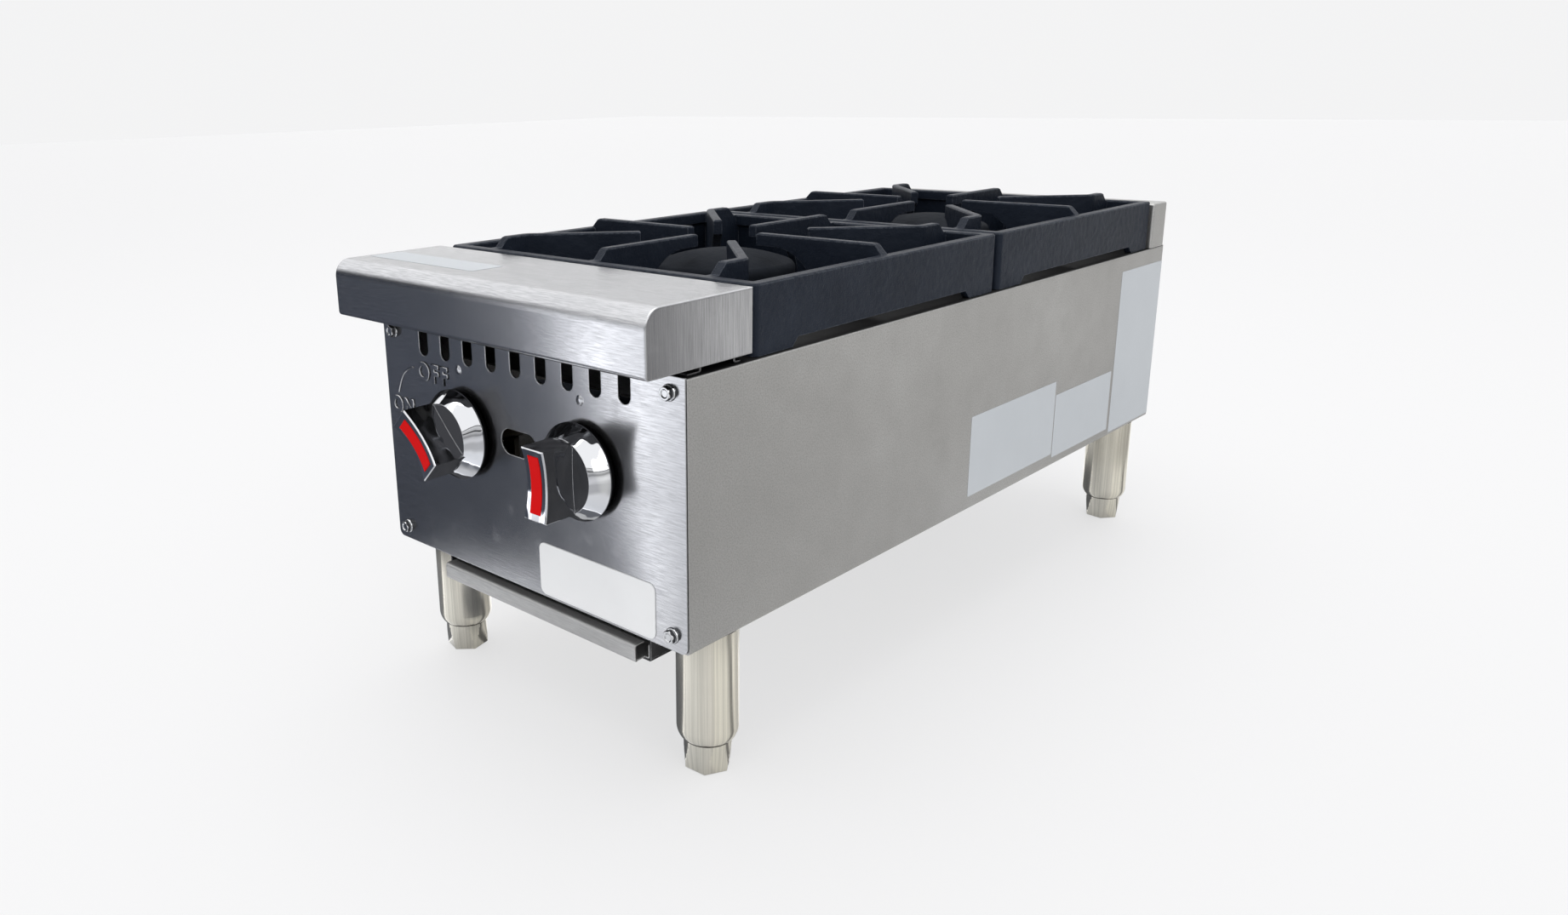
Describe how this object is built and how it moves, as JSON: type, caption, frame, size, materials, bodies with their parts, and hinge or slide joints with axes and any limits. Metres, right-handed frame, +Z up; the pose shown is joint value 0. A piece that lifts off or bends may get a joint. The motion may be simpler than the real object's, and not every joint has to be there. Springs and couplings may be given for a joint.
{
  "type": "two-burner gas hot plate",
  "caption": "Countertop gas hot plate: a folded sheet body with a rounded front ledge, cast grates over domed burners, turned knobs, a pull-out drip tray and screw-in feet on round legs.",
  "frame": {"origin": "centre of the whole object's box on the floor plane under the feet", "axes": "+X to the right seen from the front, +Y from the front ledge to the back, +Z up"},
  "size_m": [0.305, 0.7548, 0.3245],
  "materials": {
    "stainless_front": "brushed stainless sheet",
    "side_sheet": "satin aluminised sheet",
    "inner_sheet": "dull galvanised sheet",
    "grate_iron": "rough matt casting",
    "burner_iron": "rough matt casting",
    "leg_metal": "nickel-plated, polished",
    "foot_metal": "nickel-plated, polished",
    "knob_chrome": "mirror chrome",
    "knob_black": "black moulded plastic",
    "knob_red": "red moulded plastic",
    "brass": "turned brass",
    "gas_pipe": "black steel pipe",
    "pilot_metal": "drawn aluminium tube",
    "tray_sheet": "brushed sheet",
    "screw_metal": "zinc-plated"
  },
  "bodies": {
    "body": {"bullnose_cap": "stainless_front", "front_baffle": "inner_sheet", "front_burner": "burner_iron", "front_burner_cap": "burner_iron", "front_burner_rail": "inner_sheet", "front_leg_channel": "inner_sheet", "front_panel": "stainless_front", "front_panel_screws": "screw_metal", "front_pilot_tip": "screw_metal", "front_pilot_tube": "pilot_metal", "front_pilot_valve": "brass", "gas_valve_left": "brass", "gas_valve_right": "brass", "ledge_support": "inner_sheet", "left_side_panel": "side_sheet", "leg_front_left": "leg_metal", "leg_front_right": "leg_metal", "leg_nuts": "screw_metal", "leg_rear_left": "leg_metal", "leg_rear_right": "leg_metal", "manifold_bracket_left": "inner_sheet", "manifold_bracket_right": "inner_sheet", "manifold_elbow": "gas_pipe", "manifold_pipe": "gas_pipe", "manifold_plug": "gas_pipe", "orifice_hood_left": "brass", "orifice_hood_right": "brass", "rear_burner": "burner_iron", "rear_burner_cap": "burner_iron", "rear_burner_rail": "inner_sheet", "rear_leg_channel": "inner_sheet", "rear_panel": "side_sheet", "rear_panel_screws": "screw_metal", "rear_pilot_tip": "screw_metal", "rear_pilot_tube": "pilot_metal", "rear_pilot_valve": "brass", "rear_riser": "side_sheet", "right_side_panel": "side_sheet", "supply_pipe": "gas_pipe", "tray_guide_left": "inner_sheet", "tray_guide_right": "inner_sheet", "tray_runners": "inner_sheet"},
    "knob_left": {"knob_left": "knob_chrome", "knob_skirt_left": "knob_black", "knob_insert_left": "knob_red", "valve_stem_left": "brass"},
    "knob_right": {"knob_right": "knob_chrome", "knob_skirt_right": "knob_black", "knob_insert_right": "knob_red", "valve_stem_right": "brass"},
    "front_air_shutter": {"front_air_shutter": "screw_metal"},
    "rear_air_shutter": {"rear_air_shutter": "screw_metal"},
    "drip_tray": {"drip_tray": "tray_sheet"},
    "front_grate": {"front_grate": "grate_iron"},
    "rear_grate": {"rear_grate": "grate_iron"},
    "foot_front_left": {"foot_front_left": "foot_metal"},
    "foot_front_right": {"foot_front_right": "foot_metal"},
    "foot_rear_left": {"foot_rear_left": "foot_metal"},
    "foot_rear_right": {"foot_rear_right": "foot_metal"}
  },
  "joints": [
    {"name": "knob_left_turn", "type": "hinge", "parent": "body", "child": "knob_left", "pos_m": [-0.0617, -0.3465, 0.1995], "axis": [0, -1, 0], "range_deg": [-45, 45]},
    {"name": "knob_right_turn", "type": "hinge", "parent": "body", "child": "knob_right", "pos_m": [0.0617, -0.3465, 0.1995], "axis": [0, -1, 0], "range_deg": [0, 90]},
    {"name": "front_air_shutter_turn", "type": "hinge", "parent": "body", "child": "front_air_shutter", "pos_m": [-0.0617, -0.2655, 0.1995], "axis": [0, 1, 0], "range_deg": [0, 60]},
    {"name": "rear_air_shutter_turn", "type": "hinge", "parent": "body", "child": "rear_air_shutter", "pos_m": [0.0617, -0.2655, 0.1995], "axis": [0, 1, 0], "range_deg": [0, 60]},
    {"name": "tray_slide", "type": "slide", "parent": "body", "child": "drip_tray", "axis": [0, -1, 0], "range_m": [0, 0.56]},
    {"name": "front_grate_lift", "type": "slide", "parent": "body", "child": "front_grate", "axis": [0, 0, 1], "range_m": [0, 0.12]},
    {"name": "rear_grate_lift", "type": "slide", "parent": "body", "child": "rear_grate", "axis": [0, 0, 1], "range_m": [0, 0.12]},
    {"name": "foot_front_left_screw", "type": "slide", "parent": "body", "child": "foot_front_left", "axis": [0, 0, -1], "range_m": [0, 0.025]},
    {"name": "foot_front_right_screw", "type": "slide", "parent": "body", "child": "foot_front_right", "axis": [0, 0, -1], "range_m": [0, 0.025]},
    {"name": "foot_rear_left_screw", "type": "slide", "parent": "body", "child": "foot_rear_left", "axis": [0, 0, -1], "range_m": [0, 0.025]},
    {"name": "foot_rear_right_screw", "type": "slide", "parent": "body", "child": "foot_rear_right", "axis": [0, 0, -1], "range_m": [0, 0.025]}
  ]
}
